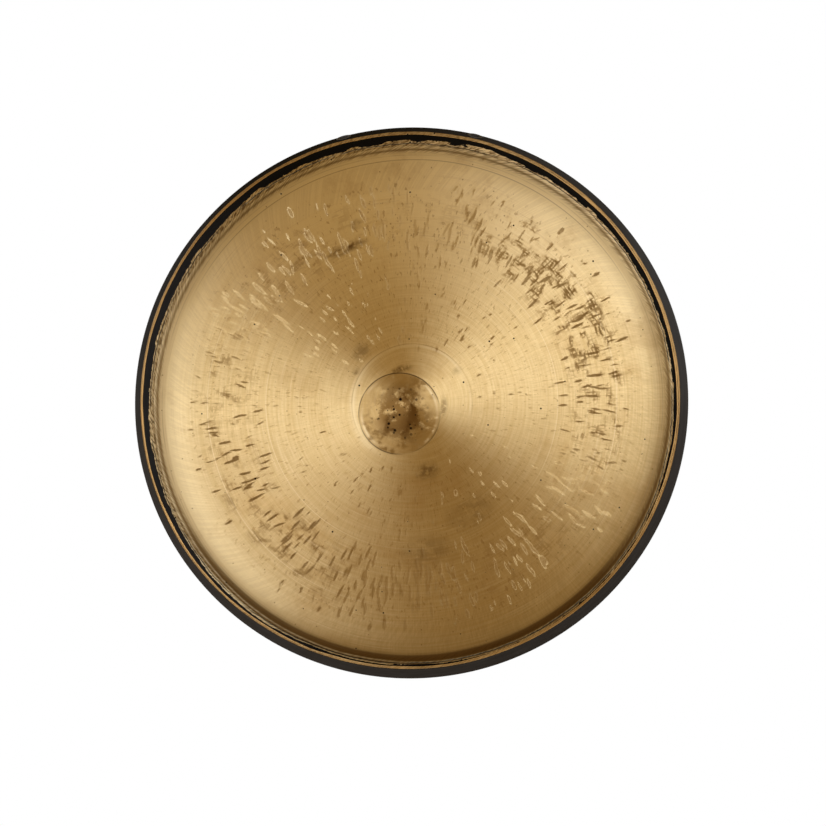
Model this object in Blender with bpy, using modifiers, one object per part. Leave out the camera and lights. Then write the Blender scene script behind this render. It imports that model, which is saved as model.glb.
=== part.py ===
"""A hand-hammered bronze tam-tam that hangs upright from two lined holes in its turned rim.

The gong's axis lies along Y. Its open side faces -Y, its domed striking side faces +Y, and +Z is up
as it hangs. The origin is where it hangs: midway between the centres of the two holes. Lengths are
in metres.

The pieces are placed from the middle of the gong's open side, where an empty stands. A turned
outline is worked out as (radius, depth) points, where depth is measured from the cut edge of the rim
towards the striking side.
"""

import math

import bpy
from mathutils import Vector

# Gong shell
OUTER_RADIUS = 0.330  # at the widest part of the shoulder
SHOULDER_DEPTH = 0.030  # from the cut edge to the widest part
SHOULDER_BEND = 0.020  # outside radius of the bend from rim to face
SHEET_THICKNESS = 0.0022  # face and shoulder
EDGE_RADIUS = 0.3185  # outside of the cut edge
EDGE_THICKNESS = 0.0036
FACE_SLOPE = math.radians(3.7)  # of the domed face where it meets the shoulder
GONG_STEPS = 96
WALL_BEND_POINTS = 4  # from the straight wall to the widest part
SHOULDER_POINTS = 7  # from the widest part to the face
FACE_POINTS = 7

# Suspension holes and their grommets
HOLE_ANGLE = math.radians(14)  # each side of the top, round the gong's axis
HOLE_DEPTH = 0.013  # from the cut edge to the hole's centre
HOLE_RADIUS = 0.007
CORD_BORE_RADIUS = 0.0053
FLANGE_RADIUS = 0.009
FLANGE_THICKNESS = 0.0010
GROOVE_WIDTH = 0.0035  # between the flanges; the rim there is 2.6 mm thick and slightly curved
MOUTH_ROUNDING = 0.0012
CLEARANCE = 0.0003
GROMMET_STEPS = 32
HOLE_STEPS = 48
CUTTER_LENGTH = 0.030

MERGE_DISTANCE = 0.00001

# The inside of the sheet follows its outside.
INNER_EDGE_RADIUS = EDGE_RADIUS - EDGE_THICKNESS
INNER_BEND = SHOULDER_BEND - SHEET_THICKNESS


def new_scene():
    """Empty the scene and return the collections for the parts and for the cutters."""
    for obj in list(bpy.data.objects):
        bpy.data.objects.remove(obj)
    parts = bpy.data.collections.new("tam_tam")
    cutters = bpy.data.collections.new("cutters")
    bpy.context.scene.collection.children.link(parts)
    bpy.context.scene.collection.children.link(cutters)
    cutters.hide_render = True
    return parts, cutters


def principled(name, colour, metallic, roughness):
    material = bpy.data.materials.new(name)
    material.use_nodes = True
    shader = material.node_tree.nodes["Principled BSDF"]
    shader.inputs["Base Color"].default_value = (*colour, 1.0)
    shader.inputs["Metallic"].default_value = metallic
    shader.inputs["Roughness"].default_value = roughness
    return material


def arc(centre, radius, start, end, count):
    """Points round a circle in the outline's plane; angles go from outwards (0) towards depth (90 degrees)."""
    angles = [start + (end - start) * i / (count - 1) for i in range(count)]
    return [
        (centre[0] + radius * math.cos(a), centre[1] + radius * math.sin(a)) for a in angles
    ]


def wall_flare(edge_radius, bend_radius):
    """Angle from the axis at which a straight wall leaves the cut edge and meets the shoulder's bend."""
    across = OUTER_RADIUS - SHOULDER_BEND - edge_radius
    distance = math.hypot(across, SHOULDER_DEPTH)
    return math.atan2(across, SHOULDER_DEPTH) + math.asin(bend_radius / distance)


def shell_side(edge_radius, bend_radius):
    """One side of the sheet, from the cut edge round the shoulder and over the domed face to the axis."""
    bend_centre = (OUTER_RADIUS - SHOULDER_BEND, SHOULDER_DEPTH)
    flare = wall_flare(edge_radius, bend_radius)
    face_normal = math.pi / 2 - FACE_SLOPE
    wall_bend = arc(bend_centre, bend_radius, -flare, 0.0, WALL_BEND_POINTS)
    shoulder = arc(bend_centre, bend_radius, 0.0, face_normal, SHOULDER_POINTS)
    face_start, face_depth = shoulder[-1]
    dome_radius = face_start / math.sin(FACE_SLOPE)
    dome_centre = (0.0, face_depth - dome_radius * math.cos(FACE_SLOPE))
    face = arc(dome_centre, dome_radius, face_normal, math.pi / 2, FACE_POINTS)
    middle = (0.0, dome_centre[1] + dome_radius)
    return [(edge_radius, 0.0)] + wall_bend + shoulder[1:] + face[1:-1] + [middle]


def turned(name, outline, steps, axis, closed, material, parts):
    """Turn an outline of (radius, height) points about Z, or of (radius, y) points about Y."""
    if axis == "Y":
        corners = [(r, h, 0.0) for r, h in outline]
    else:
        corners = [(r, 0.0, h) for r, h in outline]
    edges = [(i, i + 1) for i in range(len(corners) - 1)]
    if closed:
        edges.append((len(corners) - 1, 0))
    mesh = bpy.data.meshes.new(name)
    mesh.from_pydata(corners, edges, [])
    mesh.materials.append(material)
    obj = bpy.data.objects.new(name, mesh)
    parts.objects.link(obj)
    screw = obj.modifiers.new("Turn", "SCREW")
    screw.axis = axis
    screw.steps = steps
    screw.render_steps = steps
    screw.use_smooth_shade = True
    screw.use_merge_vertices = True
    screw.merge_threshold = MERGE_DISTANCE
    return obj


def hole_frame(side):
    """Centre of a suspension hole in the middle of the rim's wall, and the outward normal there."""
    outer_flare = wall_flare(EDGE_RADIUS, SHOULDER_BEND)
    inner_flare = wall_flare(INNER_EDGE_RADIUS, INNER_BEND)
    outer_radius = EDGE_RADIUS + HOLE_DEPTH * math.tan(outer_flare)
    inner_radius = INNER_EDGE_RADIUS + HOLE_DEPTH * math.tan(inner_flare)
    flare = (outer_flare + inner_flare) / 2
    outwards = Vector((side * math.sin(HOLE_ANGLE), 0.0, math.cos(HOLE_ANGLE)))
    centre = outwards * (outer_radius + inner_radius) / 2 + Vector((0.0, HOLE_DEPTH, 0.0))
    normal = outwards * math.cos(flare) - Vector((0.0, math.sin(flare), 0.0))
    return centre, normal


def open_side_centre(parts):
    """An empty in the middle of the gong's open side, placed so that the holes' midpoint is the origin."""
    empty = bpy.data.objects.new("open_side_centre", None)
    parts.objects.link(empty)
    left, right = hole_frame(-1)[0], hole_frame(1)[0]
    empty.location = -(left + right) / 2
    return empty


def place_along(obj, side, parent):
    """Put an object that is turned about its own Z into a hole, with its Z along the hole."""
    centre, normal = hole_frame(side)
    obj.parent = parent
    obj.location = centre
    obj.rotation_mode = "QUATERNION"
    obj.rotation_quaternion = normal.to_track_quat("Z", "Y")


def hole_cutter(name, side, parent, cutters):
    bpy.ops.mesh.primitive_cylinder_add(
        vertices=HOLE_STEPS, radius=HOLE_RADIUS, depth=CUTTER_LENGTH
    )
    cutter = bpy.context.active_object
    cutter.name = name
    for collection in list(cutter.users_collection):
        collection.objects.unlink(cutter)
    cutters.objects.link(cutter)
    cutter.hide_render = True
    cutter.display_type = "WIRE"
    place_along(cutter, side, parent)
    return cutter


def gong_shell(parent, parts, cutters, bronze):
    """The bronze forging: domed face, shoulder and inward-leaning rim, drilled twice near the top."""
    outside = shell_side(EDGE_RADIUS, SHOULDER_BEND)
    inside = shell_side(INNER_EDGE_RADIUS, INNER_BEND)
    gong = turned("gong_shell", outside[::-1] + inside, GONG_STEPS, "Y", False, bronze, parts)
    gong.parent = parent
    for name, side in (("hole_cutter_left", -1), ("hole_cutter_right", 1)):
        cut = gong.modifiers.new(name, "BOOLEAN")
        cut.operation = "DIFFERENCE"
        cut.solver = "EXACT"
        cut.object = hole_cutter(name, side, parent, cutters)


def grommet_half():
    """Outline of one flange of a grommet, from the groove round the flange and down into the bore."""
    under = GROOVE_WIDTH / 2
    rounding = FLANGE_THICKNESS / 2
    top = under + FLANGE_THICKNESS
    rim = arc((FLANGE_RADIUS - rounding, under + rounding), rounding, -math.pi / 2, math.pi / 2, 7)
    mouth_centre = (CORD_BORE_RADIUS + MOUTH_ROUNDING, top - MOUTH_ROUNDING)
    mouth = arc(mouth_centre, MOUTH_ROUNDING, math.pi / 2, math.pi, 5)
    return [(HOLE_RADIUS - CLEARANCE, under)] + rim + mouth


def grommet(name, side, parent, parts, rubber):
    """A one-piece ring that lines a hole: a sleeve with a round-edged flange on each side of the rim."""
    upper = grommet_half()
    lower = [(r, -h) for r, h in upper[::-1]]
    ring = turned(name, (upper + lower)[::-1], GROMMET_STEPS, "Z", True, rubber, parts)
    place_along(ring, side, parent)


def build():
    parts, cutters = new_scene()
    bronze = principled("lathed_bronze", (0.52, 0.33, 0.12), 1.0, 0.35)
    rubber = principled("black_rubber", (0.02, 0.02, 0.02), 0.0, 0.7)
    parent = open_side_centre(parts)
    gong_shell(parent, parts, cutters, bronze)
    grommet("hole_grommet_left", -1, parent, parts, rubber)
    grommet("hole_grommet_right", 1, parent, parts, rubber)


build()
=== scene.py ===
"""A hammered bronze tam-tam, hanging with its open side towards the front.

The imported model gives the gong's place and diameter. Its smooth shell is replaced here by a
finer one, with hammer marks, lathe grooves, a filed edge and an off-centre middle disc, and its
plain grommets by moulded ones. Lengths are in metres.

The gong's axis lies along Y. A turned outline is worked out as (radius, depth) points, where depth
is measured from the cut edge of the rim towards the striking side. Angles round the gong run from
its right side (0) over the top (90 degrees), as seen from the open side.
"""

import math
import random

import bmesh
import bpy
import numpy as np
from mathutils import Matrix, Vector


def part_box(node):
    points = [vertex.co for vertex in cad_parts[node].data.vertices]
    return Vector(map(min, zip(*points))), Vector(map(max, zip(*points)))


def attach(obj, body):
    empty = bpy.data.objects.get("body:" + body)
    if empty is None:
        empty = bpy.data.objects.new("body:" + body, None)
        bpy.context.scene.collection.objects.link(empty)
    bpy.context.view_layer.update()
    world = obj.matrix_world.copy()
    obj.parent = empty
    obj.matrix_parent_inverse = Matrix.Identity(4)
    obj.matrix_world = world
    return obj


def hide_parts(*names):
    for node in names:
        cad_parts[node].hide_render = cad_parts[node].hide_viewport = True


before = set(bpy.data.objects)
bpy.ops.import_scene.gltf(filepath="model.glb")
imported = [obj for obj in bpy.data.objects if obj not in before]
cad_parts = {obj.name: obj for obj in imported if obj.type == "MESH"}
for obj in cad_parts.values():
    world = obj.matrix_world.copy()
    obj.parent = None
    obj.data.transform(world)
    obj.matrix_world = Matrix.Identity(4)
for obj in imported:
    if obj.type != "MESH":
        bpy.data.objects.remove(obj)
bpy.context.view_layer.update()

# The gong's place and size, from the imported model
SHELL_LOW, SHELL_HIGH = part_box("gong_shell")
OUTER_RADIUS = (SHELL_HIGH.x - SHELL_LOW.x) / 2
OPEN_CENTRE = Vector((
    (SHELL_LOW.x + SHELL_HIGH.x) / 2, SHELL_LOW.y, (SHELL_LOW.z + SHELL_HIGH.z) / 2
))

# Sheet and rim, as in the part's design
SHOULDER_DEPTH = 0.030  # from the cut edge to the widest part
SHOULDER_BEND = 0.020  # outside radius of the bend from rim to face
SHEET_THICKNESS = 0.0022
EDGE_RADIUS = 0.3185  # outside of the cut edge
EDGE_THICKNESS = 0.0036
FACE_SLOPE = math.radians(3.7)  # of the domed face where it meets the shoulder
INNER_EDGE_RADIUS = EDGE_RADIUS - EDGE_THICKNESS
INNER_BEND = SHOULDER_BEND - SHEET_THICKNESS
EDGE_CORNER = 0.0004  # the file has taken the corners off the cut edge

# Suspension holes and grommets, as in the part's design
HOLE_ANGLE = math.radians(14)  # each side of the top
HOLE_DEPTH = 0.013  # from the cut edge to the hole's centre
HOLE_RADIUS = 0.007
CORD_BORE_RADIUS = 0.0053
FLANGE_RADIUS = 0.009
FLANGE_THICKNESS = 0.0010
GROOVE_WIDTH = 0.0035  # between the flanges
MOUTH_ROUNDING = 0.0012
CLEARANCE = 0.0003
MOULDING_LINE = 0.0001  # how far the line round each flange stands out
DRILL_LENGTH = 0.030
HOLE_STEPS = 64
GROMMET_STEPS = 80

# Fineness of the shell's mesh
FIRST_STEPS = 120  # round the axis, near the middle; doubled at each radius below
DOUBLING_RADII = (0.034, 0.078)
HAMMERED_FROM, HAMMERED_TO = 0.150, 0.270  # doubled once more there, on the open side
MERGE_DISTANCE = 0.000001

# Zones of the face from the middle outwards: where each ends, and about how far apart its rings are
OPEN_SIDE_ZONES = (
    (0.030, 0.0040), (0.088, 0.0021), (0.150, 0.0038), (0.270, 0.0039), (0.286, 0.0030),
    (0.3105, 0.0011),
)
STRIKING_SIDE_ZONES = ((0.030, 0.0075), (0.286, 0.0072))

# The middle of the face: a disc and a ring that the lathe left off centre, as (right, up)
DISC_RADIUS = 0.049
DISC_CENTRE = (-0.0146, -0.0127)
DISC_DEPTH = 0.0005
RING_RADIUS = 0.0715
RING_CENTRE = (0.0005, -0.0010)
RING_DEPTH = 0.0002

# Where lathing stopped and black forge scale is left
INNER_SCALE_RADIUS = 0.3145
OUTER_SCALE_RADIUS = 0.3040

# Grooves that the lathe cut near the shoulder: radius, half width, depth
GROOVES = (
    (0.2885, 0.0009, 0.00004),
    (0.2948, 0.0011, 0.00006),
    (0.2985, 0.0009, 0.00005),
    (0.3038, 0.0012, 0.00012),
    (0.3085, 0.0011, 0.00014),
)

# Hammer marks: count, inner and outer radius, then ranges of length, width and strength
OPEN_SIDE_MARKS = (
    (430, 0.172, 0.258, (0.014, 0.026), (0.0030, 0.0043), (0.4, 1.0)),
    (100, 0.245, 0.276, (0.012, 0.022), (0.0028, 0.0040), (0.3, 0.9)),
    (250, 0.062, 0.185, (0.007, 0.015), (0.0026, 0.0036), (0.2, 0.75)),
    (60, 0.190, 0.245, (0.009, 0.014), (0.0050, 0.0070), (0.10, 0.25)),
)
STRIKING_SIDE_MARKS = (
    (260, 0.120, 0.275, (0.026, 0.040), (0.014, 0.020), (0.4, 1.0)),
    (60, 0.040, 0.120, (0.022, 0.034), (0.014, 0.020), (0.3, 0.8)),
)
MOST_MARKS_AT = 0.55  # of the way from a row's inner radius to its outer one
MARK_TILT = 0.16  # spread, in radians, of how far the marks turn from the radius
MARK_DEPTH = 0.00030  # of the strongest mark on the open side
DENT_DEPTH = 0.00035  # of the strongest dent in the striking side
FACE_FROM = 0.04  # deeper than this from the cut edge, the sheet is face and takes the marks

# Stains on the open side: angle in degrees, radius, length round the gong, width, strength
STAINS = (
    (113, 0.204, 0.056, 0.011, 1.0),
    (128, 0.217, 0.046, 0.009, 0.5),
    (107, 0.227, 0.018, 0.012, 0.6),
    (108, 0.043, 0.030, 0.009, 0.8),
    (134, 0.087, 0.026, 0.020, 0.5),
    (150, 0.077, 0.011, 0.008, 0.8),
    (-7, 0.039, 0.030, 0.009, 0.6),
    (-77, 0.085, 0.030, 0.022, 0.7),
    (35, 0.066, 0.010, 0.016, 0.4),
    (-62, 0.150, 0.060, 0.040, 0.35),
    (-84, 0.180, 0.070, 0.040, 0.35),
)

SEED = 26  # of the random draws for the hammer marks

# The lathed face gleams most along a line through the middle, at this angle.
LOBE_ANGLE = math.radians(20)

# Colours that more than one coat of the bronze uses; both are painted highlights
HIGHLIGHT_METAL = (0.98, 0.88, 0.62)
RING_HIGHLIGHT = (0.98, 0.90, 0.68)


# ---------------------------------------------------------------- outline of the shell


def arc(centre, radius, start, end, count):
    """Points round a circle in the outline's plane, from outwards (0) towards depth (90 degrees)."""
    angles = np.linspace(start, end, count)
    return [(centre[0] + radius * math.cos(a), centre[1] + radius * math.sin(a)) for a in angles]


def wall_flare(edge_radius, bend_radius):
    """Angle from the axis at which the wall leaves the cut edge and meets the shoulder's bend."""
    across = OUTER_RADIUS - SHOULDER_BEND - edge_radius
    distance = math.hypot(across, SHOULDER_DEPTH)
    return math.atan2(across, SHOULDER_DEPTH) + math.asin(bend_radius / distance)


def face_radii(zones):
    """Radii of the face's rings, from the middle outwards."""
    radii = [0.0]
    for end, spacing in zones:
        start = radii[-1]
        count = max(1, round((end - start) / spacing))
        radii += [start + (end - start) * i / count for i in range(1, count + 1)]
    return radii


def shell_side(edge_radius, bend_radius, zones, wall_points, shoulder_points):
    """One side of the sheet, from the middle of the face over the shoulder to the cut edge."""
    bend_centre = (OUTER_RADIUS - SHOULDER_BEND, SHOULDER_DEPTH)
    face_normal = math.pi / 2 - FACE_SLOPE
    flare = wall_flare(edge_radius, bend_radius)
    shoulder = arc(bend_centre, bend_radius, face_normal, 0.0, shoulder_points)
    wall_bend = arc(bend_centre, bend_radius, 0.0, -flare, 6)
    dome_radius = shoulder[0][0] / math.sin(FACE_SLOPE)
    dome_depth = shoulder[0][1] - dome_radius * math.cos(FACE_SLOPE)
    radii = face_radii((*zones, (shoulder[0][0], zones[-1][1])))
    face = [(r, dome_depth + math.sqrt(dome_radius**2 - r**2)) for r in radii]
    last = wall_bend[-1]
    wall = [
        (last[0] + (edge_radius - last[0]) * t, last[1] * (1 - t))
        for t in np.linspace(0, 1, wall_points)[1:]
    ]
    return face[:-1] + shoulder + wall_bend[1:] + wall


def shell_outline():
    """The sheet's whole section and, for each point, its side: 0 open side, 1 cut edge, 2 outside."""
    inside = shell_side(
        INNER_EDGE_RADIUS, INNER_BEND, OPEN_SIDE_ZONES, wall_points=8, shoulder_points=9
    )
    outside = shell_side(
        EDGE_RADIUS, SHOULDER_BEND, STRIKING_SIDE_ZONES, wall_points=7, shoulder_points=9
    )
    inner_corner = [(INNER_EDGE_RADIUS, EDGE_CORNER), (INNER_EDGE_RADIUS + EDGE_CORNER, 0.0)]
    outer_corner = [(EDGE_RADIUS - EDGE_CORNER, 0.0), (EDGE_RADIUS, EDGE_CORNER)]
    middle = (EDGE_RADIUS + INNER_EDGE_RADIUS) / 2
    cut_edge = inner_corner + [(middle, 0.0)] + outer_corner
    points = inside[:-1] + cut_edge + outside[-2::-1]
    sides = [0.0] * (len(inside) - 1) + [1.0] * len(cut_edge) + [2.0] * (len(outside) - 1)
    return points, sides


# ---------------------------------------------------------------- mesh of the shell


def double_steps(bm, ring, wanted):
    """Split the wanted edges that run round the axis, and put the new corners on the round."""
    around = []
    for edge in bm.edges:
        a, b = edge.verts
        level = abs(a[ring] - b[ring]) < MERGE_DISTANCE and abs(a.co.y - b.co.y) < MERGE_DISTANCE
        if level and wanted(a):
            around.append(edge)
    bmesh.ops.subdivide_edges(bm, edges=around, cuts=1)
    for corner in bm.verts:
        length = math.hypot(corner.co.x, corner.co.z)
        if length > MERGE_DISTANCE:
            corner.co.x *= corner[ring] / length
            corner.co.z *= corner[ring] / length


def turned_shell():
    """The smooth shell as a bmesh about the Y axis, with each corner's side of the sheet in a layer."""
    points, sides = shell_outline()
    bm = bmesh.new()
    ring = bm.verts.layers.float.new("ring")
    side = bm.verts.layers.float.new("side")
    corners = [bm.verts.new((radius, depth, 0.0)) for radius, depth in points]
    for corner, (radius, _), tag in zip(corners, points, sides):
        corner[ring] = radius
        corner[side] = tag
    edges = [bm.edges.new(pair) for pair in zip(corners, corners[1:])]
    bmesh.ops.spin(
        bm, geom=corners + edges, cent=(0, 0, 0), axis=(0, 1, 0),
        angle=2 * math.pi, steps=FIRST_STEPS, use_merge=True,
    )
    bmesh.ops.remove_doubles(bm, verts=bm.verts, dist=MERGE_DISTANCE)
    for radius in DOUBLING_RADII:
        double_steps(bm, ring, lambda corner: corner[ring] > radius)
    double_steps(
        bm, ring,
        lambda corner: HAMMERED_FROM < corner[ring] < HAMMERED_TO and corner[side] < 0.5,
    )
    bmesh.ops.recalc_face_normals(bm, faces=bm.faces)
    return bm


def object_from(bm, name):
    """A new object at the origin with this bmesh as its mesh."""
    mesh = bpy.data.meshes.new(name)
    bm.to_mesh(mesh)
    bm.free()
    obj = bpy.data.objects.new(name, mesh)
    bpy.context.scene.collection.objects.link(obj)
    return obj


def hole_frame(side):
    """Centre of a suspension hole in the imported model's frame, and the rim's outward normal there."""
    outer_flare = wall_flare(EDGE_RADIUS, SHOULDER_BEND)
    inner_flare = wall_flare(INNER_EDGE_RADIUS, INNER_BEND)
    outer_radius = EDGE_RADIUS + HOLE_DEPTH * math.tan(outer_flare)
    inner_radius = INNER_EDGE_RADIUS + HOLE_DEPTH * math.tan(inner_flare)
    flare = (outer_flare + inner_flare) / 2
    outwards = Vector((side * math.sin(HOLE_ANGLE), 0.0, math.cos(HOLE_ANGLE)))
    centre = outwards * (outer_radius + inner_radius) / 2 + Vector((0.0, HOLE_DEPTH, 0.0))
    normal = outwards * math.cos(flare) - Vector((0.0, math.sin(flare), 0.0))
    return OPEN_CENTRE + centre, normal


def placement(side):
    """Matrix that puts something turned about Z into a suspension hole."""
    centre, normal = hole_frame(side)
    return Matrix.Translation(centre) @ normal.to_track_quat("Z", "Y").to_matrix().to_4x4()


def drill(obj):
    """Cut both suspension holes through the rim."""
    for side in (-1, 1):
        bm = bmesh.new()
        bmesh.ops.create_cone(
            bm, cap_ends=True, segments=HOLE_STEPS, radius1=HOLE_RADIUS, radius2=HOLE_RADIUS,
            depth=DRILL_LENGTH, matrix=placement(side),
        )
        cutter = object_from(bm, "drill")
        cut = obj.modifiers.new("hole", "BOOLEAN")
        cut.operation = "DIFFERENCE"
        cut.solver = "EXACT"
        cut.object = cutter
        depsgraph = bpy.context.evaluated_depsgraph_get()
        drilled = bpy.data.meshes.new_from_object(obj.evaluated_get(depsgraph))
        obj.modifiers.clear()
        obj.data = drilled
        bpy.data.objects.remove(cutter)


# ---------------------------------------------------------------- handwork on the shell


def wander(angle, seed, waves, size):
    """A smooth random value round the gong that closes on itself: a few whole waves added up."""
    draw = random.Random(seed)
    total = np.zeros_like(angle)
    for count in waves:
        total += np.cos(count * angle + draw.uniform(0, 2 * math.pi)) * draw.uniform(0.5, 1.0)
    return total * size / len(waves)


def smooth_step(low, high, value):
    """0 where value is past low, 1 past high, smooth in between; low may be the greater."""
    t = np.clip((value - low) / (high - low), 0.0, 1.0)
    return t * t * (3 - 2 * t)


def towards(angle, degrees, low, high):
    """1 on the part of the gong that lies at an angle, 0 away from it; low and high are cosines."""
    return smooth_step(low, high, np.cos(angle - math.radians(degrees)))


def turn_from(angle, place):
    """How far round the gong each angle is from a place, from -180 to 180 degrees, in radians."""
    return (angle - place + math.pi) % (2 * math.pi) - math.pi


def hammer_marks(radius, angle, rows, seed):
    """How deep the hammer's lens-shaped marks are at each point of the face, from 0 to 1."""
    draw = random.Random(seed)
    marks = np.zeros_like(radius)
    for count, inner, outer, lengths, widths, strengths in rows:
        for _ in range(count):
            middle = draw.triangular(inner, outer, inner + MOST_MARKS_AT * (outer - inner))
            place = draw.uniform(-math.pi, math.pi)
            half_length = draw.uniform(*lengths) / 2
            half_width = draw.uniform(*widths) / 2
            tilt = draw.gauss(0.0, MARK_TILT)
            strength = draw.uniform(*strengths)
            turn = turn_from(angle, place)
            near = np.nonzero(
                (np.abs(turn) * middle < half_length) & (np.abs(radius - middle) < half_length)
            )[0]
            out = radius[near] - middle
            across = turn[near] * middle
            along = (out * math.cos(tilt) + across * math.sin(tilt)) / half_length
            aside = (across * math.cos(tilt) - out * math.sin(tilt)) / half_width
            taper = np.clip(1 - along**2, 0.0001, 1.0)
            value = strength * taper * np.clip(1 - (aside / taper) ** 2, 0.0, 1.0)
            marks[near] = np.maximum(marks[near], value)
    return marks


def stained(radius, angle):
    """How strongly the face is stained at each point, from 0 to 1."""
    stain = np.zeros_like(radius)
    for turn, place, length, width, strength in STAINS:
        away = turn_from(angle, math.radians(turn))
        distance = np.hypot(away * place / (length / 2), (radius - place) / (width / 2))
        stain = np.maximum(stain, strength * smooth_step(1.3, 0.3, distance))
    return stain


def lathe_grooves(radius):
    """Depth of the sharp grooves that the lathe left near the shoulder."""
    depth = np.zeros_like(radius)
    for place, half_width, amount in GROOVES:
        depth += amount * np.clip(1 - np.abs(radius - place) / half_width, 0.0, 1.0)
    return depth


class Places:
    """Where each corner of the smooth shell lies on the gong, as arrays."""

    def __init__(self, mesh):
        count = len(mesh.vertices)
        flat = np.empty(count * 3)
        mesh.vertices.foreach_get("co", flat)
        self.side = np.empty(count)
        mesh.attributes["side"].data.foreach_get("value", self.side)
        self.co = flat.reshape(-1, 3)
        self.x = self.co[:, 0] - OPEN_CENTRE.x
        self.z = self.co[:, 2] - OPEN_CENTRE.z
        self.depth = self.co[:, 1] - OPEN_CENTRE.y
        self.radius = np.hypot(self.x, self.z)
        self.angle = np.arctan2(self.z, self.x)
        self.on_open_side = self.side < 0.5
        self.on_edge = np.abs(self.side - 1) < 0.5
        self.on_outside = self.side > 1.5


def face_relief(at, marks, dents):
    """How far the hammer and the lathe pushed each corner of the face along the axis."""
    uneven = wander(at.angle, seed=3, waves=(2, 3, 5, 7), size=0.0005)
    uneven += 0.0004 * np.cos(at.x * 42 + 1.0) * np.cos(at.z * 37 + 0.4)
    uneven *= smooth_step(0.05, 0.2, at.radius) * smooth_step(0.315, 0.28, at.radius)
    disc_distance = np.hypot(at.x - DISC_CENTRE[0], at.z - DISC_CENTRE[1])
    disc = DISC_DEPTH * smooth_step(DISC_RADIUS + 0.002, DISC_RADIUS - 0.002, disc_distance)
    ring_distance = np.hypot(at.x - RING_CENTRE[0], at.z - RING_CENTRE[1])
    ring = RING_DEPTH * smooth_step(0.003, 0.0, np.abs(ring_distance - RING_RADIUS))
    hollows = MARK_DEPTH * marks + disc + ring + lathe_grooves(at.radius)
    relief = uneven + np.where(at.on_open_side, hollows, -DENT_DEPTH * dents)
    return np.where(at.depth > FACE_FROM, relief, 0.0)


def rim_moves(at):
    """How far the file and the bending moved each corner of the rim outwards, and along the axis."""
    near_edge = smooth_step(0.012, 0.0, at.depth)

    # The cut edge is filed thinner and left uneven, and it is widest towards the upper right.
    width_change = 0.0006 * np.cos(at.angle - math.radians(50)) - 0.0010
    width_change += wander(at.angle, seed=5, waves=(9, 14, 23, 31, 47), size=0.0007)
    inner_wall_limit = EDGE_RADIUS - 0.45 * EDGE_THICKNESS + at.depth * 0.45
    on_inner_wall = (at.side < 1.2) & (at.radius < inner_wall_limit)
    thin = np.where(on_inner_wall, -width_change * near_edge, 0.0)

    shift = wander(at.angle, seed=8, waves=(3, 5, 8, 13, 21), size=0.0006) * near_edge
    lift = np.abs(wander(at.angle, seed=9, waves=(2, 3, 11, 17), size=0.0006)) * near_edge
    return thin + shift, lift


def scale_reach(at):
    """How far each corner lies past the lathed metal, in millimetres; over 0 there is black scale."""
    inner_limit = INNER_SCALE_RADIUS + wander(
        at.angle, seed=12, waves=(4, 7, 11, 19, 33, 58, 91), size=0.0016
    )
    inner_limit -= 0.0011 * towards(at.angle, -35, -0.1, 0.8)
    inner_limit += 0.0018 * towards(at.angle, 150, -0.3, 0.7)
    outer_limit = OUTER_SCALE_RADIUS + wander(
        at.angle, seed=13, waves=(3, 5, 9, 16, 41), size=0.0016
    )
    reach = np.where(at.on_outside, at.radius - outer_limit, at.radius - inner_limit) * 1000
    reach = np.where((at.depth < 0.02) & ~at.on_edge, 6.0, reach)

    # The cut edge is filed clean, but for a line along its middle at the right.
    edge_middle = (EDGE_RADIUS + INNER_EDGE_RADIUS) / 2
    in_middle = np.abs(at.radius - edge_middle) < EDGE_THICKNESS / 4
    edge_line = 1.6 * towards(at.angle, 25, -0.2, 0.9) - 0.5
    return np.where(at.on_edge, np.where(in_middle, edge_line, -6.0), reach)


def painted_scale_shade(at):
    """Where the black scale is painted darker as shade, to near black: inside the rim but for its left,
    outside at the upper left, and beside the cut edge outside.
    """
    outside = towards(at.angle, 128, 0.4, 0.85)
    inside = 1 - 0.55 * towards(at.angle, 190, 0.3, 0.9)
    scale_shade = np.where(at.on_outside, outside, inside)
    beside_cut_edge = at.on_outside & (at.depth < 0.002)
    return np.where(beside_cut_edge, 1.0, scale_shade)


def work_by_hand(obj):
    """Move the smooth shell's corners as the hammer, the lathe and the file did, and note where."""
    mesh = obj.data
    at = Places(mesh)
    marks = hammer_marks(at.radius, at.angle, OPEN_SIDE_MARKS, SEED)
    marks = np.where(at.on_open_side, marks, 0.0)
    dents = hammer_marks(at.radius, at.angle, STRIKING_SIDE_MARKS, SEED + 1)
    dents = np.where(at.on_outside, dents, 0.0)
    relief = face_relief(at, marks, dents)
    outwards, lift = rim_moves(at)
    grow = 1 + outwards / np.maximum(at.radius, 0.01)
    at.co[:, 0] = OPEN_CENTRE.x + at.x * grow
    at.co[:, 2] = OPEN_CENTRE.z + at.z * grow
    at.co[:, 1] += relief + lift
    mesh.vertices.foreach_set("co", at.co.ravel())
    layers = {
        "marks": marks + 0.5 * dents,
        "scale": scale_reach(at),
        "scale_shade": painted_scale_shade(at),
        "stain": np.where(at.on_open_side, stained(at.radius, at.angle), 0.0),
        "filed": np.where(at.on_edge, 1.0, 0.0),
    }
    for name, values in layers.items():
        layer = mesh.attributes.new(name, "FLOAT", "POINT")
        layer.data.foreach_set("value", values.astype(np.float32))
    for name in ("ring", "side"):
        mesh.attributes.remove(mesh.attributes[name])


def gong_shell(bronze):
    bm = turned_shell()
    bmesh.ops.translate(bm, verts=bm.verts, vec=OPEN_CENTRE)
    shell = object_from(bm, "gong_shell_hammered")
    drill(shell)
    work_by_hand(shell)
    shell.data.materials.clear()
    shell.data.materials.append(bronze)
    shell.data.shade_smooth()
    shell.data.set_sharp_from_angle(angle=math.radians(35))
    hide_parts("gong_shell")
    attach(shell, "root")


# ---------------------------------------------------------------- grommets


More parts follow.
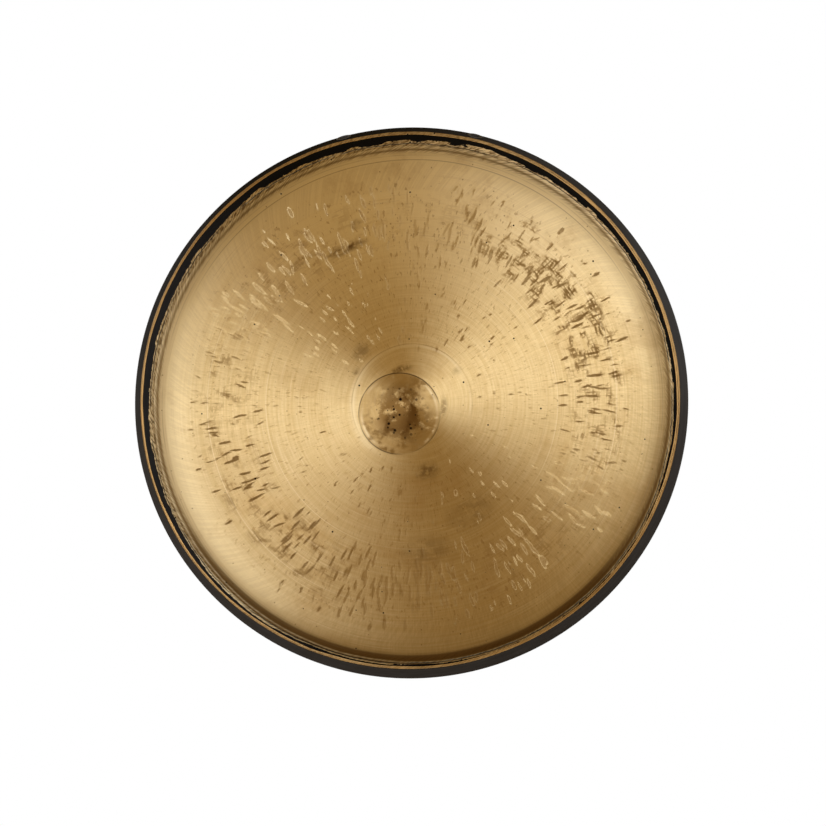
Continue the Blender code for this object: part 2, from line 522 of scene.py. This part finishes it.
def grommet_outline():
    """Closed section of the grommet, as (radius, height), with a moulding line round each flange."""
    under = GROOVE_WIDTH / 2
    rounding = FLANGE_THICKNESS / 2
    flange_centre = (FLANGE_RADIUS - rounding, under + rounding)
    flange = arc(flange_centre, rounding, -math.pi / 2, math.pi / 2, 15)
    middle = len(flange) // 2
    flange[middle] = (flange[middle][0] + MOULDING_LINE, flange[middle][1])
    mouth_centre = (CORD_BORE_RADIUS + MOUTH_ROUNDING, under + FLANGE_THICKNESS - MOUTH_ROUNDING)
    mouth = arc(mouth_centre, MOUTH_ROUNDING, math.pi / 2, math.pi, 9)
    upper = [(HOLE_RADIUS - CLEARANCE, under)] + flange + mouth
    lower = [(r, -h) for r, h in upper[::-1]]
    return upper + lower


def grommet(name, side, rubber):
    bm = bmesh.new()
    corners = [bm.verts.new((radius, 0.0, height)) for radius, height in grommet_outline()]
    edges = [bm.edges.new(pair) for pair in zip(corners, corners[1:] + corners[:1])]
    bmesh.ops.spin(
        bm, geom=corners + edges, cent=(0, 0, 0), axis=(0, 0, 1),
        angle=2 * math.pi, steps=GROMMET_STEPS, use_merge=True,
    )
    bmesh.ops.remove_doubles(bm, verts=bm.verts, dist=MERGE_DISTANCE)
    bmesh.ops.recalc_face_normals(bm, faces=bm.faces)
    bmesh.ops.transform(bm, matrix=placement(side), verts=bm.verts)
    ring = object_from(bm, name + "_moulded")
    ring.data.materials.append(rubber)
    ring.data.shade_smooth()
    ring.data.set_sharp_from_angle(angle=math.radians(40))
    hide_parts(name)
    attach(ring, "root")


# ---------------------------------------------------------------- materials


class Nodes:
    """A node tree, with a short call for each kind of node that this file uses."""

    def __init__(self, tree):
        self.tree = tree

    def node(self, kind, inputs, output=0, **settings):
        new = self.tree.nodes.new("ShaderNode" + kind)
        for name, value in settings.items():
            setattr(new, name, value)
        for socket, value in inputs.items():
            self.plug(new.inputs[socket], value)
        return new.outputs[output]

    def plug(self, socket, value):
        if isinstance(value, bpy.types.NodeSocket):
            self.tree.links.new(value, socket)
        else:
            socket.default_value = value

    def math(self, operation, a, b=0.0, c=0.0):
        return self.node("Math", {0: a, 1: b, 2: c}, operation=operation)

    def vector(self, operation, a, b=(0, 0, 0), output=0):
        return self.node("VectorMath", {0: a, 1: b}, output, operation=operation)

    def scaled(self, vector, factor):
        return self.node("VectorMath", {0: vector, "Scale": factor}, operation="SCALE")

    def noise(self, vector, scale=1.0, detail=2.0, roughness=0.5):
        inputs = {"Vector": vector, "Scale": scale, "Detail": detail, "Roughness": roughness}
        return self.node("TexNoise", inputs)

    def cells(self, vector, scale, output, **settings):
        return self.node("TexVoronoi", {"Vector": vector, "Scale": scale}, output, **settings)

    def between(self, value, low, high):
        """0 where value is past low, 1 past high, smooth in between; low may be the greater."""
        inputs = {"Value": value, "From Min": low, "From Max": high}
        return self.node("MapRange", inputs, interpolation_type="SMOOTHSTEP")

    def line(self, distance, place, half_width):
        """1 on a thin line where a distance has one value, and 0 away from it."""
        away = self.math("ABSOLUTE", self.math("SUBTRACT", distance, place))
        return self.between(away, half_width, 0.0)

    def both(self, *amounts):
        """Product of several amounts."""
        product = amounts[0]
        for amount in amounts[1:]:
            product = self.math("MULTIPLY", product, amount)
        return product

    def most(self, *amounts):
        """The greatest of several amounts."""
        greatest = amounts[0]
        for amount in amounts[1:]:
            greatest = self.math("MAXIMUM", greatest, amount)
        return greatest

    def eased(self, amount, factor, start):
        """An amount times a factor, added to a start."""
        return self.math("MULTIPLY_ADD", amount, factor, start)

    def mixed(self, amount, a, b, blend="MIX"):
        new = self.tree.nodes.new("ShaderNodeMix")
        new.data_type = "RGBA"
        new.blend_type = blend
        for socket, value in ((new.inputs[0], amount), (new.inputs[6], a), (new.inputs[7], b)):
            self.plug(socket, value)
        return new.outputs[2]

    def attribute(self, name):
        return self.node("Attribute", {}, "Fac", attribute_name=name)


class Finish(Nodes):
    """A new material's nodes."""

    def __init__(self, name):
        self.material = bpy.data.materials.new(name)
        self.material.use_nodes = True
        super().__init__(self.material.node_tree)
        self.shader = self.tree.nodes["Principled BSDF"]

    def set(self, **inputs):
        for name, value in inputs.items():
            self.plug(self.shader.inputs[name.replace("_", " ")], value)


class Turned(Finish):
    """A finish on a turned piece: it knows each point's place round the gong's axis."""

    def __init__(self, name):
        super().__init__(name)
        place = self.node("TexCoord", {}, "Object")
        self.place = self.vector("SUBTRACT", place, tuple(OPEN_CENTRE))
        self.flat = self.vector("MULTIPLY", self.place, (1, 0, 1))
        self.radius = self.vector("LENGTH", self.flat, output="Value")
        self.outwards = self.vector("NORMALIZE", self.flat)
        self.across = self.node("SeparateXYZ", {0: self.outwards}, "X")
        self.right = self.math("MULTIPLY", self.across, self.radius)
        self.rise = self.node("SeparateXYZ", {0: self.place}, "Z")

    def rings(self, around, across, offset=0.0, slant=0.0):
        """A pattern's coordinates: cells per radian round the gong, and per metre across its rings.

        Slant is how many radians the pattern turns back for each metre outwards.
        """
        outwards = self.outwards
        if slant:
            turn = self.math("MULTIPLY", self.radius, -slant)
            inputs = {"Vector": outwards, "Axis": (0, 1, 0), "Angle": turn}
            outwards = self.node("VectorRotate", inputs)
        height = self.math("MULTIPLY_ADD", self.radius, across, offset)
        return self.vector(
            "ADD", self.scaled(outwards, around), self.node("CombineXYZ", {"Y": height})
        )

    def streaks(self, around, across, offset, low, high, detail=1.0, slant=0.0):
        """Noise in the gong's own rings, cut to patches between low and high."""
        noise = self.noise(self.rings(around, across, offset, slant), detail=detail)
        return self.between(noise, low, high)

    def patches(self, scale, detail, roughness, low, high):
        """Noise that doesn't follow the rings, cut to patches between low and high."""
        return self.between(self.noise(self.place, scale, detail, roughness), low, high)

    def distance_from(self, centre):
        return self.vector("DISTANCE", self.flat, (centre[0], 0, centre[1]), output="Value")

    def spots(self, per_metre, share, size):
        """Round spots: cells per metre, the share of cells that have one, and radius in cells."""
        across = self.node("SeparateXYZ", {0: self.place}, "X")
        on_face = self.node("CombineXYZ", {"X": across, "Y": self.rise})
        distance = self.cells(on_face, per_metre, "Distance", voronoi_dimensions="2D")
        colour = self.cells(on_face, per_metre, "Color", voronoi_dimensions="2D")
        pick = self.node("SeparateColor", {0: colour})
        radius = self.math("MULTIPLY", self.between(pick, 1 - share, 1.0), size)
        return self.between(self.math("SUBTRACT", radius, distance), -0.25 * size, 0.25 * size)


class Bronze(Turned):
    """The gong's metal: its colour is laid on in coats, and several coats share these masks."""

    def __init__(self, name):
        super().__init__(name)
        self.colour = None
        self.turning = self.noise(self.rings(1.8, 400, 7.0), detail=3.0, roughness=0.7)
        self.marks = self.attribute("marks")
        self.mark_floor = self.between(self.marks, 0.14, 0.58)
        self.uneven = self.patches(22.0, 2.0, 0.5, 0.35, 0.60)
        self.at_sides = self.between(self.math("ABSOLUTE", self.across), 0.15, 0.75)
        self.low_down = self.between(self.rise, -0.10, -0.24)
        lobe_axis = (math.cos(LOBE_ANGLE), 0, math.sin(LOBE_ANGLE))
        along_lobe = self.vector("DOT_PRODUCT", self.outwards, lobe_axis, output="Value")
        self.in_lobe = self.between(self.math("ABSOLUTE", along_lobe), 0.52, 0.84)

    def coat(self, amount, strength, colour, blend="MIX"):
        """Lay a colour over the earlier ones where an amount says, up to a strength."""
        amount = self.math("MULTIPLY", amount, strength)
        self.colour = self.mixed(amount, self.colour, (*colour, 1), blend)


def bare_metal(f):
    """Rings and hairs of the lathe, with a painted highlight at the top and upper right, and painted
    shade making it browner low down.
    """
    f.colour = f.mixed(
        f.between(f.turning, 0.30, 0.70), (0.75, 0.593, 0.315, 1), (0.86, 0.715, 0.425, 1)
    )
    hairs = f.noise(f.rings(150.0, 45, 8.0), detail=2.0, roughness=0.6)
    f.coat(f.between(hairs, 0.75, 0.30), 1.0, (0.87, 0.86, 0.83), "MULTIPLY")
    f.coat(f.noise(f.rings(1.5, 45, 3.0), detail=2.0), 0.25, (0.64, 0.47, 0.22))

    # Painted shade: darker and browner towards the bottom, less so at the right
    wavy_rise = f.eased(f.noise(f.place, 5.0, 3.0), 0.08, f.rise)
    low_painted_shade = f.both(
        f.between(wavy_rise, 0.06, -0.06), f.eased(f.between(f.right, 0.06, 0.20), -0.65, 1.0)
    )
    f.coat(low_painted_shade, 0.30, (0.30, 0.19, 0.08))
    # Painted highlight: lighter at the top and on the outer face to one side, where the light falls
    slope = f.math("SUBTRACT", f.math("MULTIPLY", f.rise, 0.8), f.math("MULTIPLY", f.right, 0.6))
    painted_highlight = f.most(
        f.both(f.between(f.radius, 0.245, 0.297), f.between(slope, -0.20, -0.05), 0.68),
        f.both(f.between(f.rise, 0.08, 0.27), 0.85),
    )
    f.coat(painted_highlight, 1.0, (0.98, 0.85, 0.55))
    f.coat(f.patches(12.0, 6.0, 0.68, 0.53, 0.72), 0.40, (0.48, 0.31, 0.12))

    # Groups of fine lines that the lathe cut deeper
    runs = f.both(f.streaks(3.0, 60, 18.0, 0.53, 0.62), f.between(f.radius, 0.08, 0.17))
    f.coat(f.both(runs, f.streaks(2.0, 520, 19.0, 0.52, 0.66)), 0.16, (0.96, 0.86, 0.62))
    f.coat(f.both(runs, f.streaks(2.0, 520, 23.0, 0.54, 0.68)), 0.15, (0.40, 0.26, 0.10))


def hammered_band(f):
    """Brown dashes that the lathe left between the hammer's marks, then marks, nicks and stains.

    Returns where the brown dashes are.
    """
    lower_left = f.both(f.between(f.right, -0.05, -0.14), f.between(f.rise, 0.05, -0.05))
    band = f.both(f.between(f.radius, 0.175, 0.205), f.between(f.radius, 0.268, 0.245))
    patches = f.both(
        band, f.streaks(13.0, 60, 1.0, 0.46, 0.62, detail=3.0), f.eased(f.at_sides, 0.65, 0.35),
        f.eased(lower_left, -0.45, 1.0),
    )
    dashes = f.streaks(20.0, 420, 4.0, 0.44, 0.60, detail=2.0)
    strokes = f.streaks(90.0, 60, 9.0, 0.46, 0.62)
    browned = f.both(patches, f.most(dashes, f.both(strokes, 0.9)))
    f.coat(browned, 0.46, (0.36, 0.22, 0.070))
    f.coat(f.mark_floor, 0.22, (0.42, 0.26, 0.10))
    nicks = f.both(
        f.streaks(60.0, 130, 12.0, 0.61, 0.69, detail=2.0), f.between(f.radius, 0.045, 0.09),
        f.between(f.radius, 0.285, 0.26),
    )
    f.coat(nicks, 0.45, (0.36, 0.22, 0.08))
    stain = f.both(
        f.attribute("stain"), f.streaks(14.0, 190, 15.0, 0.26, 0.52, detail=4.0),
        f.eased(f.patches(85.0, 5.0, 0.65, 0.38, 0.56), 0.65, 0.35),
    )
    f.coat(stain, 0.95, (0.17, 0.095, 0.026))
    return browned


def middle_disc(f):
    """A mottled brown cloud in the off-centre disc, a painted highlight on its bevel at the left and
    right, and a dark line round it.

    Returns where the cloud, the unlathed patches and the line are.
    """
    distance = f.distance_from(DISC_CENTRE)
    inside = f.between(distance, DISC_RADIUS + 0.001, DISC_RADIUS - 0.002)
    cloud = f.between(distance, DISC_RADIUS - 0.005, DISC_RADIUS - 0.033)
    f.coat(inside, 0.50, (0.38, 0.235, 0.070))
    f.coat(f.both(cloud, f.patches(62.0, 6.0, 0.70, 0.40, 0.53)), 0.92, (0.19, 0.105, 0.030))
    from_middle = f.math("ABSOLUTE", f.math("SUBTRACT", f.right, DISC_CENTRE[0]))
    # Painted highlight on the disc's inner bevel, at its left and right only
    bevel_highlight = f.both(
        f.line(distance, DISC_RADIUS - 0.0034, 0.0030), f.uneven, f.between(from_middle, 0.018, 0.042)
    )
    f.coat(bevel_highlight, 0.55, HIGHLIGHT_METAL)
    outline = f.both(f.line(distance, DISC_RADIUS, 0.0012), f.patches(25.0, 1.0, 0.5, 0.30, 0.55))
    f.coat(outline, 0.9, (0.06, 0.035, 0.018))
    unlathed = f.both(inside, f.patches(80.0, 5.0, 0.6, 0.47, 0.60))
    return cloud, unlathed, outline


def rings_of_the_lathe(f):
    """The broken ring round the disc, with a painted highlight at its left, painted highlight and shade
    lines along its upper part, and two faint rings further out painted as highlights.
    """
    distance = f.distance_from(RING_CENTRE)
    # Painted highlight on the ring at its left
    left_ring_highlight = f.both(f.between(f.right, -0.030, -0.060), f.line(distance, RING_RADIUS, 0.0070))
    f.coat(left_ring_highlight, 0.30, HIGHLIGHT_METAL)
    # Painted highlight and painted shade: a pale line and a dark line along the upper part of the ring
    upper = f.both(f.between(f.rise, -0.050, 0.005), f.eased(f.uneven, 0.7, 0.3))
    f.coat(f.both(upper, f.line(distance, RING_RADIUS - 0.0010, 0.0024)), 0.30, RING_HIGHLIGHT)
    f.coat(f.both(upper, f.line(distance, RING_RADIUS + 0.0010, 0.0010)), 0.45, (0.30, 0.18, 0.070))
    # Painted highlights on two faint lathe rings, strongest where the lathed face gleams
    far_ring_highlights = f.both(
        f.most(f.line(f.radius, 0.1755, 0.0010), f.line(f.radius, 0.2458, 0.0010)),
        f.eased(f.in_lobe, 0.7, 0.3),
    )
    f.coat(far_ring_highlights, 0.25, RING_HIGHLIGHT)


def specks_and_faint_slants(f):
    """Small brown specks all over, and faint slanting tool marks between the band and the shoulder."""
    f.coat(f.spots(80.0, 0.22, 0.075), 0.55, (0.26, 0.15, 0.055))
    faint = f.both(
        f.between(f.radius, 0.255, 0.262), f.between(f.radius, 0.296, 0.290),
        f.streaks(115.0, 12, 28.0, 0.62, 0.42, slant=2.1),
    )
    f.coat(faint, 0.11, (0.34, 0.22, 0.085))


def shoulder(f):
    """Brown between the lathe's rings on the shoulder, with painted shade making it deeper low down, and
    its grooves.
    """
    # Brown in the shoulder's rings, partly its own colour and partly painted shade: painted stronger low
    # down
    brown = f.both(
        f.line(f.radius, 0.3075, 0.0065), f.eased(f.between(f.rise, 0.10, -0.08), 0.60, 0.15),
        f.streaks(3.0, 240, 31.0, 0.25, 0.60, detail=3.0),
    )
    f.coat(brown, 0.85, (0.21, 0.12, 0.040))
    tan_step = f.both(f.between(f.radius, 0.2950, 0.2985), f.between(f.rise, 0.26, 0.12))
    f.coat(tan_step, 0.15, (0.42, 0.27, 0.10))
    # Painted shade: a near-black band on the shoulder low down
    low_shoulder_shade = f.both(
        f.low_down, f.between(f.radius, 0.3000, 0.3040), f.between(f.radius, 0.3136, 0.3124)
    )
    f.coat(low_shoulder_shade, 0.80, (0.12, 0.065, 0.018))
    grooves = f.most(
        f.both(f.line(f.radius, 0.2948, 0.0010), f.between(f.rise, 0.10, 0.22)),
        f.both(f.line(f.radius, 0.3003, 0.0011), f.uneven, 0.5),
    )
    f.coat(grooves, 0.42, (0.16, 0.09, 0.032))


def lip(f):
    """Frayed metal next to the scale, a painted highlight line on the lip with a painted shade line
    below it, a painted highlight on the lip low down, and tool marks.
    """
    wobble = f.eased(f.noise(f.rings(3.0, 0.0, 35.0), detail=2.0), 0.0030, -0.0015)
    step = f.math("ADD", f.eased(f.right, -0.0039, f.radius), wobble)
    frayed = f.between(step, 0.3108, 0.3122)
    f.coat(frayed, 0.30, (0.34, 0.22, 0.10))
    frays = f.both(frayed, f.streaks(75.0, 330, 37.0, 0.47, 0.60, detail=2.0, slant=5.0))
    f.coat(frays, 0.75, (0.055, 0.034, 0.018))
    # Painted shade: the dark line below the lip
    f.coat(f.line(step, 0.3070, 0.0023), 0.60, (0.19, 0.11, 0.035))
    # Painted highlight: the pale line on the lip
    f.coat(f.line(step, 0.3104, 0.0015), 0.60, (1.0, 0.90, 0.64))
    # Painted highlight on the lip low down
    lip_highlight_low = f.both(f.low_down, f.between(f.radius, 0.3122, 0.3134))
    f.coat(lip_highlight_low, 0.80, (1.0, 0.88, 0.60))
    slants = f.both(
        f.between(f.radius, 0.3020, 0.3055), f.streaks(130.0, 130, 26.0, 0.58, 0.42, slant=6.9)
    )
    f.coat(slants, 0.50, (0.24, 0.145, 0.052))


def forge_scale(f):
    """Black scale past the lathed part, with a thin black line just before it; returns where it is."""
    reach = f.attribute("scale")
    ragged = f.eased(f.noise(f.rings(60.0, 450, 2.0), detail=3.0), 2.6, -1.3)
    skips = f.eased(f.noise(f.rings(5.0, 420, 5.0), detail=1.0), 4.0, -2.0)
    flakes = f.both(
        f.streaks(10.0, 90, 36.0, 0.52, 0.66, detail=3.0), f.between(f.rise, 0.18, 0.28), -3.0
    )
    edge = f.math("ADD", f.math("ADD", reach, flakes), f.math("ADD", ragged, skips))
    hairline = f.both(
        f.line(f.eased(ragged, 0.5, reach), -1.9, 0.9),
        f.streaks(5.0, 0.0, 33.0, 0.36, 0.50, detail=2.0),
    )
    scale = f.most(f.between(edge, -0.12, 0.12), hairline)
    grey = f.noise(f.rings(9.0, 500, 6.0), detail=4.0, roughness=0.65)
    colour = f.mixed(grey, (0.010, 0.0096, 0.0098, 1), (0.042, 0.039, 0.039, 1))
    # Painted shade: the black scale is darkened to near black on parts of the rim
    colour = f.mixed(f.attribute("scale_shade"), colour, (0.0012, 0.0011, 0.0010, 1))
    f.colour = f.mixed(scale, f.colour, colour)
    return scale


def off_the_rings(f, browned, unlathed, scale):
    """How far the gleam turns away from the lathe's rings.

    The hammer's marks lie below the rings, so they gleam across and not along them.
    """
    mark_rim = f.both(
        f.between(f.marks, 0.12, 0.24), f.between(f.marks, 0.48, 0.30),
        f.eased(f.in_lobe, -0.42, 0.42),
    )
    turned_away = f.most(
        f.both(f.mark_floor, f.eased(f.in_lobe, 0.80, 0.18)), mark_rim,
        f.both(browned, f.eased(f.in_lobe, 0.62, 0.06)), f.both(unlathed, 0.40),
    )
    return f.both(turned_away, f.math("SUBTRACT", 1.0, scale))


def lathed_bronze():
    """Bronze turned in fine rings, browned where the lathe missed, with black forge scale on the rim."""
    f = Bronze("lathed_bronze")
    bare_metal(f)
    browned = hammered_band(f)
    disc_cloud, unlathed, disc_outline = middle_disc(f)
    rings_of_the_lathe(f)
    specks_and_faint_slants(f)
    shoulder(f)
    lip(f)
    filed_edge = f.both(f.attribute("filed"), f.eased(f.at_sides, 0.5, 0.5))
    f.coat(filed_edge, 1.0, (0.52, 0.35, 0.155))
    pits = f.most(f.spots(32.0, 0.28, 0.036), f.both(disc_cloud, f.spots(150.0, 0.60, 0.27)))
    f.coat(pits, 1.0, (0.010, 0.006, 0.004))
    scale = forge_scale(f)

    turned_away = off_the_rings(f, browned, unlathed, scale)
    around = f.vector("CROSS_PRODUCT", f.outwards, (0, 1, 0))
    tangent = f.vector(
        "ADD", f.scaled(f.outwards, f.math("SUBTRACT", 1.0, turned_away)), f.scaled(around, turned_away)
    )
    roughness = f.eased(f.turning, 0.10, 0.36)
    roughness = f.math("ADD", roughness, f.math("MULTIPLY", turned_away, 0.24))
    roughness = f.eased(scale, 0.22, roughness)
    height = f.math("MULTIPLY", f.noise(f.rings(2.0, 1500), detail=1.0), 0.5)
    height = f.math("ADD", height, f.math("MULTIPLY", f.turning, 0.45))
    height = f.math("ADD", height, f.math("MULTIPLY", f.noise(f.place, 900.0), 0.12))
    height = f.math("SUBTRACT", height, f.math("MULTIPLY", disc_outline, 1.5))
    height = f.math("SUBTRACT", height, f.math("MULTIPLY", pits, 2.0))
    bump = f.node("Bump", {"Strength": 0.5, "Distance": 0.00008, "Height": height}, "Normal")
    f.set(
        Base_Color=f.colour, Metallic=f.eased(scale, -0.9, 1.0), Roughness=roughness, Normal=bump,
        Anisotropic=0.92, Tangent=tangent, Specular_IOR_Level=0.2,
    )
    return f.material


def moulded_rubber():
    """Matt black rubber with fine grain and a little dust."""
    f = Finish("moulded_rubber")
    place = f.node("TexCoord", {}, "Object")
    dust = f.between(f.noise(place, 160.0, 4.0, 0.6), 0.45, 0.75)
    grain = f.noise(place, 2600.0, 2.0)
    colour = f.mixed(dust, (0.014, 0.014, 0.014, 1), (0.040, 0.038, 0.035, 1))
    bump = f.node("Bump", {"Strength": 0.3, "Distance": 0.00005, "Height": grain}, "Normal")
    f.set(Base_Color=colour, Roughness=f.eased(dust, 0.2, 0.55), Normal=bump)
    return f.material


# ---------------------------------------------------------------- stage, light and camera

FLOOR_HEIGHT = -1.45
CAMERA_DISTANCE = 3.5
CAMERA_AZIMUTH = math.radians(3.6)
CAMERA_ELEVATION = math.radians(-6.2)
CAMERA_LENS = 128.1  # millimetres, on a sensor 36 mm wide
AIM_DOWN, AIM_RIGHT = 0.0151, 0.0034  # from the middle of the gong's widest part
SOFTBOX_DISTANCE = 2.6

# Front softboxes: angle in degrees round the gong, and radiance; each has a twin across the gong
FRONT_SOFTBOXES = ((-18, 1.7), (4, 2.6), (27, 2.5), (50, 2.1), (72, 0.6))


def pale_floor():
    bm = bmesh.new()
    bmesh.ops.create_grid(bm, x_segments=8, y_segments=8, size=9.0)
    bmesh.ops.translate(bm, verts=bm.verts, vec=(0, 0, FLOOR_HEIGHT))
    floor = object_from(bm, "floor")
    f = Finish("pale_floor")
    place = f.node("TexCoord", {}, "Object")
    tone = f.mixed(f.noise(place, 3.0, 3.0), (0.78, 0.78, 0.78, 1), (0.82, 0.82, 0.82, 1))
    f.set(Base_Color=tone, Roughness=0.7)
    floor.data.materials.append(f.material)
    floor.visible_glossy = False  # so that the bronze reflects the dim room and not the floor


def softbox(name, angle, radiance, tilt, width, height, behind=False):
    """A white softbox aimed at the gong; angle is round the gong, and tilt is away from its axis."""
    angle, tilt = math.radians(angle), math.radians(tilt)
    front = 1.0 if behind else -1.0
    away = Vector((
        math.cos(angle) * math.sin(tilt), front * math.cos(tilt), math.sin(angle) * math.sin(tilt)
    ))
    light = bpy.data.lights.new(name, "AREA")
    light.shape = "RECTANGLE"
    light.size = width
    light.size_y = height
    light.energy = radiance * math.pi * width * height
    lamp = bpy.data.objects.new(name, light)
    lamp.location = OPEN_CENTRE + away * SOFTBOX_DISTANCE
    lamp.rotation_euler = away.to_track_quat("Z", "Y").to_euler()
    lamp.visible_camera = False
    bpy.context.scene.collection.objects.link(lamp)


def surroundings():
    """White behind the gong, a dim warm room in its reflections, and a soft grey light elsewhere."""
    world = bpy.data.worlds.new("studio")
    bpy.context.scene.world = world
    world.use_nodes = True
    w = Nodes(world.node_tree)
    height = w.node("SeparateXYZ", {0: w.node("TexCoord", {}, "Generated")}, "Z")
    rise = w.node("MapRange", {"Value": height, "From Min": -0.35, "From Max": 0.35})
    room = w.mixed(rise, (0.54, 0.35, 0.150, 1), (0.34, 0.22, 0.085, 1))
    around = w.mixed(w.node("LightPath", {}, "Is Glossy Ray"), (0.55, 0.54, 0.53, 1), room)
    behind = w.mixed(w.node("LightPath", {}, "Is Camera Ray"), around, (1, 1, 1, 1))
    w.plug(w.tree.nodes["Background"].inputs["Color"], behind)


def camera():
    direction = Vector((
        math.sin(CAMERA_AZIMUTH) * math.cos(CAMERA_ELEVATION),
        -math.cos(CAMERA_AZIMUTH) * math.cos(CAMERA_ELEVATION),
        math.sin(CAMERA_ELEVATION),
    ))
    turn = direction.to_track_quat("Z", "Y")
    up, right = turn @ Vector((0, 1, 0)), turn @ Vector((1, 0, 0))
    aim = OPEN_CENTRE + Vector((0, SHOULDER_DEPTH, 0)) - up * AIM_DOWN + right * AIM_RIGHT
    lens = bpy.data.cameras.new("camera")
    lens.lens = CAMERA_LENS
    viewpoint = bpy.data.objects.new("camera", lens)
    viewpoint.location = aim + direction * CAMERA_DISTANCE
    viewpoint.rotation_euler = turn.to_euler()
    bpy.context.scene.collection.objects.link(viewpoint)
    bpy.context.scene.camera = viewpoint


def build():
    bpy.context.scene.view_settings.view_transform = "Standard"
    gong_shell(lathed_bronze())
    rubber = moulded_rubber()
    grommet("hole_grommet_left", -1, rubber)
    grommet("hole_grommet_right", 1, rubber)
    pale_floor()
    for number, (angle, radiance) in enumerate(FRONT_SOFTBOXES):
        for side, turn in (("right", 0), ("left", 180)):
            name = f"softbox_{side}_{number}"
            softbox(name, angle + turn, radiance, tilt=36, width=0.8, height=1.0)
    for side, angle in (("right", 25), ("left", 155)):
        name = f"softbox_back_{side}"
        softbox(name, angle, 1.6, tilt=50, width=1.4, height=1.4, behind=True)
    surroundings()
    camera()


build()
